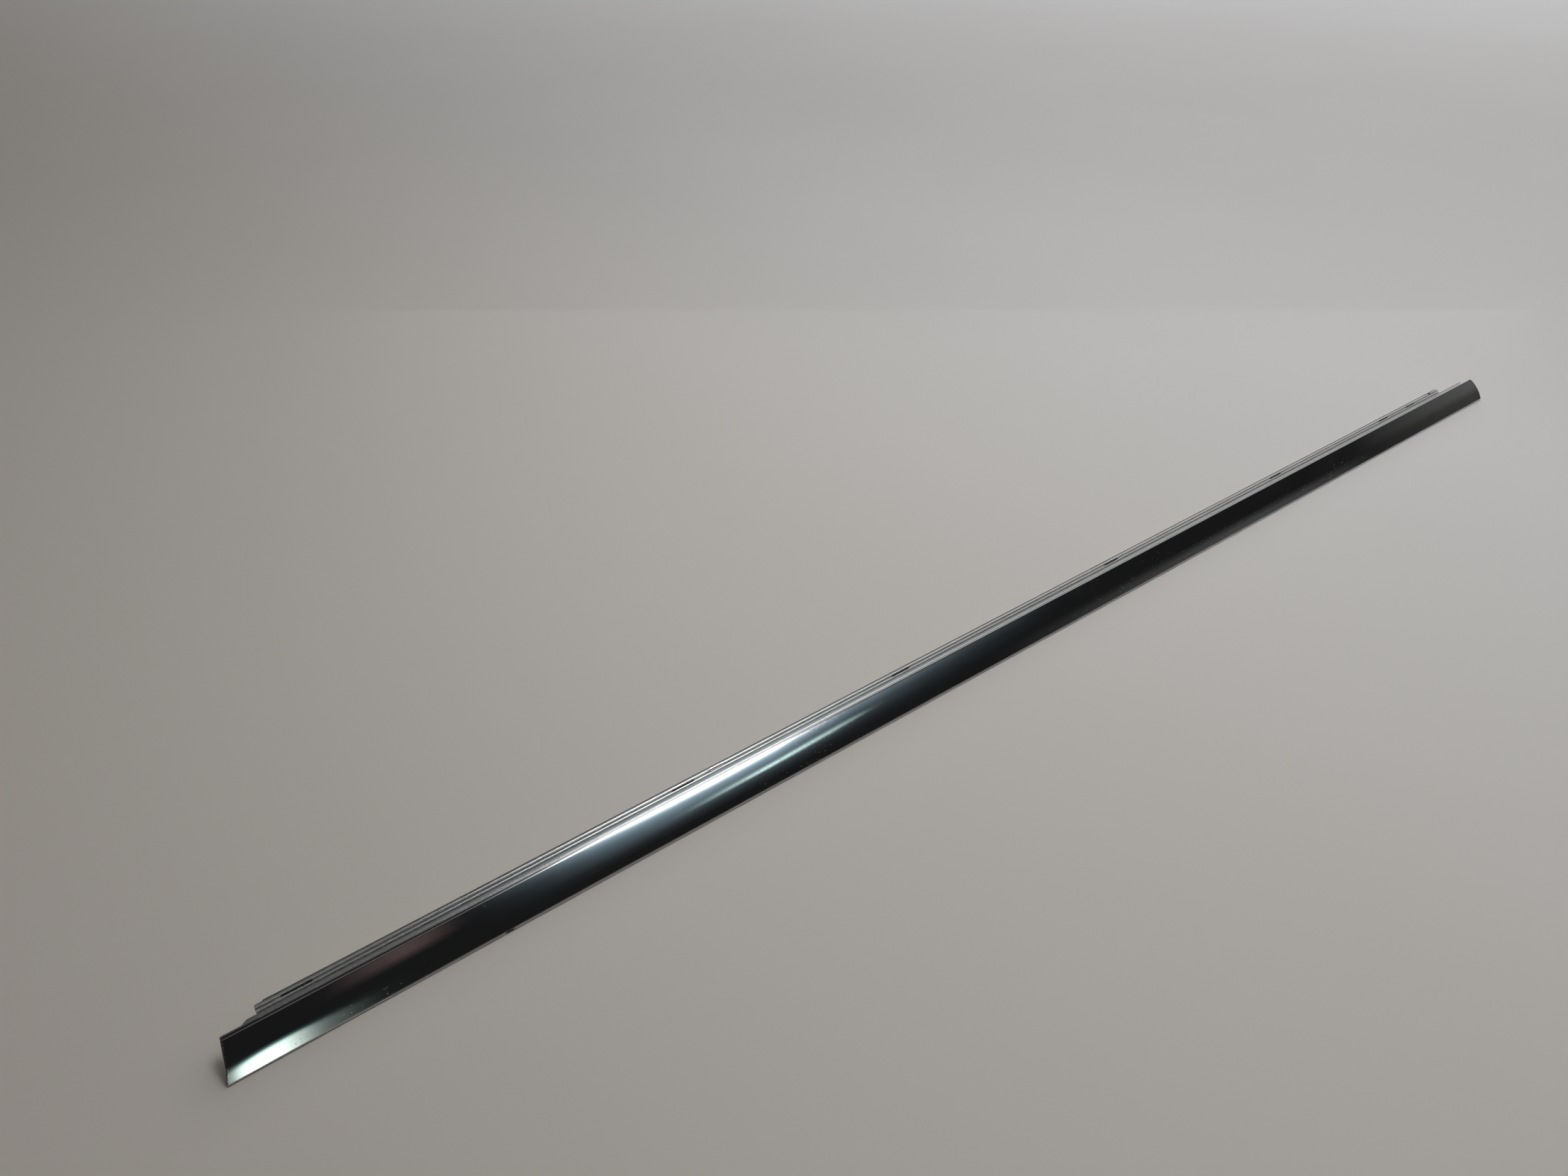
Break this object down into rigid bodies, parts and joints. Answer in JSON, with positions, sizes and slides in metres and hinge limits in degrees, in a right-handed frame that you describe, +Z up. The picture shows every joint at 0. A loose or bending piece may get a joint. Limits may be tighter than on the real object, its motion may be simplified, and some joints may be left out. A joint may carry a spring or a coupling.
{
  "type": "door belt trim strip",
  "caption": "Long bright-metal trim strip with a convex mirror face, rolled hem, ribbed slotted rail, spring clips and rubber seals for a door's window slot.",
  "frame": {"origin": "middle of the footprint, on the surface the strip rests on", "axes": "+X along the strip towards its square end, +Y from the bright face towards the window glass, +Z up"},
  "size_m": [1.12, 0.0246, 0.0178],
  "materials": {
    "bright_cover": "mirror polished, fine scratches",
    "rail_metal": "bright drawn metal with lengthwise lines",
    "spring_steel": "black phosphated spring steel, satin",
    "band_metal": "bright spring steel",
    "wiper_rubber": "matt black, flocked on the glass side",
    "seal_rubber": "satin black"
  },
  "bodies": {
    "strip": {"face_cover": "bright_cover", "carrier_rail": "rail_metal", "locator_band": "band_metal", "glass_wiper": "wiper_rubber", "bedding_seal": "seal_rubber"},
    "clip_1": {"spring_clip_1": "spring_steel"},
    "clip_2": {"spring_clip_2": "spring_steel"},
    "clip_3": {"spring_clip_3": "spring_steel"},
    "clip_4": {"spring_clip_4": "spring_steel"},
    "clip_5": {"spring_clip_5": "spring_steel"},
    "clip_6": {"spring_clip_6": "spring_steel"},
    "clip_7": {"spring_clip_7": "spring_steel"}
  },
  "joints": [
    {"name": "clip_1_float", "type": "slide", "parent": "strip", "child": "clip_1", "axis": [1, 0, 0], "range_m": [-0.0019, 0.0019]},
    {"name": "clip_2_float", "type": "slide", "parent": "strip", "child": "clip_2", "axis": [1, 0, 0], "range_m": [-0.0019, 0.0019]},
    {"name": "clip_3_float", "type": "slide", "parent": "strip", "child": "clip_3", "axis": [1, 0, 0], "range_m": [-0.0019, 0.0019]},
    {"name": "clip_4_float", "type": "slide", "parent": "strip", "child": "clip_4", "axis": [1, 0, 0], "range_m": [-0.0019, 0.0019]},
    {"name": "clip_5_float", "type": "slide", "parent": "strip", "child": "clip_5", "axis": [1, 0, 0], "range_m": [-0.0019, 0.0019]},
    {"name": "clip_6_float", "type": "slide", "parent": "strip", "child": "clip_6", "axis": [1, 0, 0], "range_m": [-0.0019, 0.0019]},
    {"name": "clip_7_float", "type": "slide", "parent": "strip", "child": "clip_7", "axis": [1, 0, 0], "range_m": [-0.0019, 0.0019]}
  ]
}
